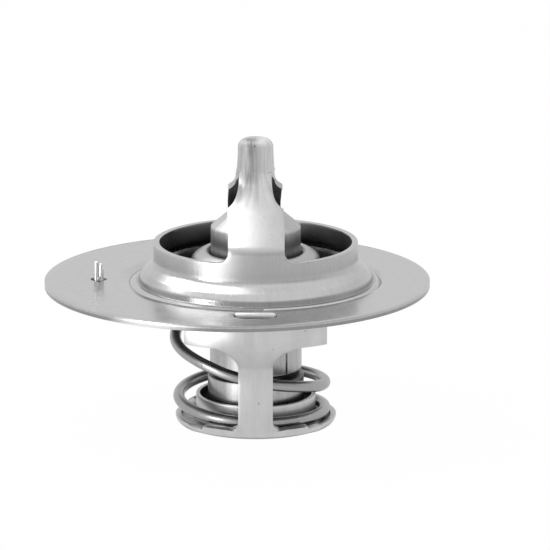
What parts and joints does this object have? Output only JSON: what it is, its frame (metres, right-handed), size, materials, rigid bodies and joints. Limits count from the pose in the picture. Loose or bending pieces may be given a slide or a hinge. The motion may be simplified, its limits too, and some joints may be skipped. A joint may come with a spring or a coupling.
{
  "type": "engine thermostat",
  "caption": "Engine coolant valve: stamped round flange with raised collar and bridge, wax element on a piston, spring, lower frame and loose vent pin.",
  "frame": {"origin": "centre of the flange's rim, on its top face", "axes": "+Z along the flange's axis towards the bridge's nose, +X from the vent pin towards the valve's axis, -Y is the front, where a strap of the bridge stands"},
  "size_m": [0.054, 0.054, 0.0408],
  "materials": {
    "stamped_steel": "satin drawn sheet",
    "frame_steel": "satin pressed sheet",
    "valve_steel": "satin",
    "turned_metal": "turned, plated",
    "element_metal": "drawn, plated",
    "ring_plastic": "plain",
    "boot_rubber": "matt",
    "wax": "wax with metal powder",
    "piston_steel": "polished",
    "spring_steel": "drawn wire",
    "pin_metal": "satin"
  },
  "bodies": {
    "frame": {"flange_bridge": "stamped_steel", "lower_frame": "frame_steel", "piston": "piston_steel", "spring": "spring_steel"},
    "valve": {"valve_disc": "valve_steel", "guide": "turned_metal", "sleeve": "element_metal", "element_cup": "element_metal", "backing_ring": "ring_plastic", "rubber_boot": "boot_rubber", "wax_charge": "wax"},
    "vent_pin": {"jiggle_pin": "pin_metal"}
  },
  "joints": [
    {"name": "valve_lift", "type": "slide", "parent": "frame", "child": "valve", "axis": [0, 0, -1], "range_m": [0, 0.007], "stiffness_N_per_m": 600, "springref_m": -0.008, "deforming": ["spring"]},
    {"name": "pin_lift", "type": "slide", "parent": "frame", "child": "vent_pin", "axis": [0, 0, 1], "range_m": [0, 0.0014]}
  ]
}
